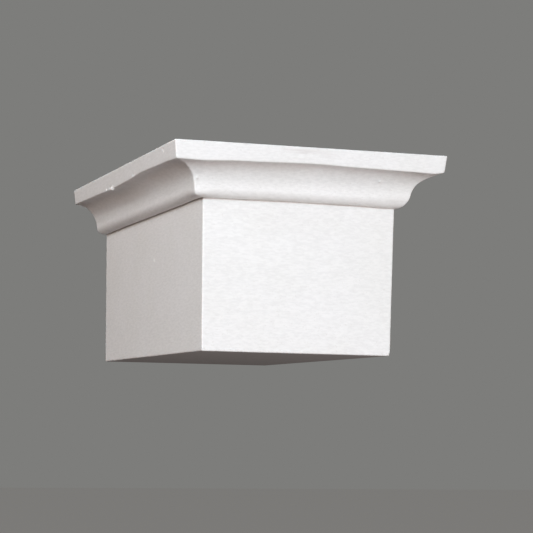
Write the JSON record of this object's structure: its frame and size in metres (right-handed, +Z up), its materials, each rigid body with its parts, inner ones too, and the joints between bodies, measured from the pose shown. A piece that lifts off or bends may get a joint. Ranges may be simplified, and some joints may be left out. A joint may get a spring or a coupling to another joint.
{
  "type": "dentil block",
  "caption": "Tapered rectangular ornament block with an ogee crown moulding returned along its front and sides, flat at the back and top for fixing under a soffit.",
  "frame": {"origin": "centre of the whole width and depth, at the level of the underside", "axes": "+Z up, -Y out of the moulded front, +Y out of the flat back, +X to the right of someone facing the front"},
  "size_m": [0.2134, 0.3352, 0.1511],
  "materials": {
    "primed_foam": "matt factory primer"
  },
  "bodies": {
    "root": {"dentil_block": "primed_foam"}
  },
  "joints": []
}
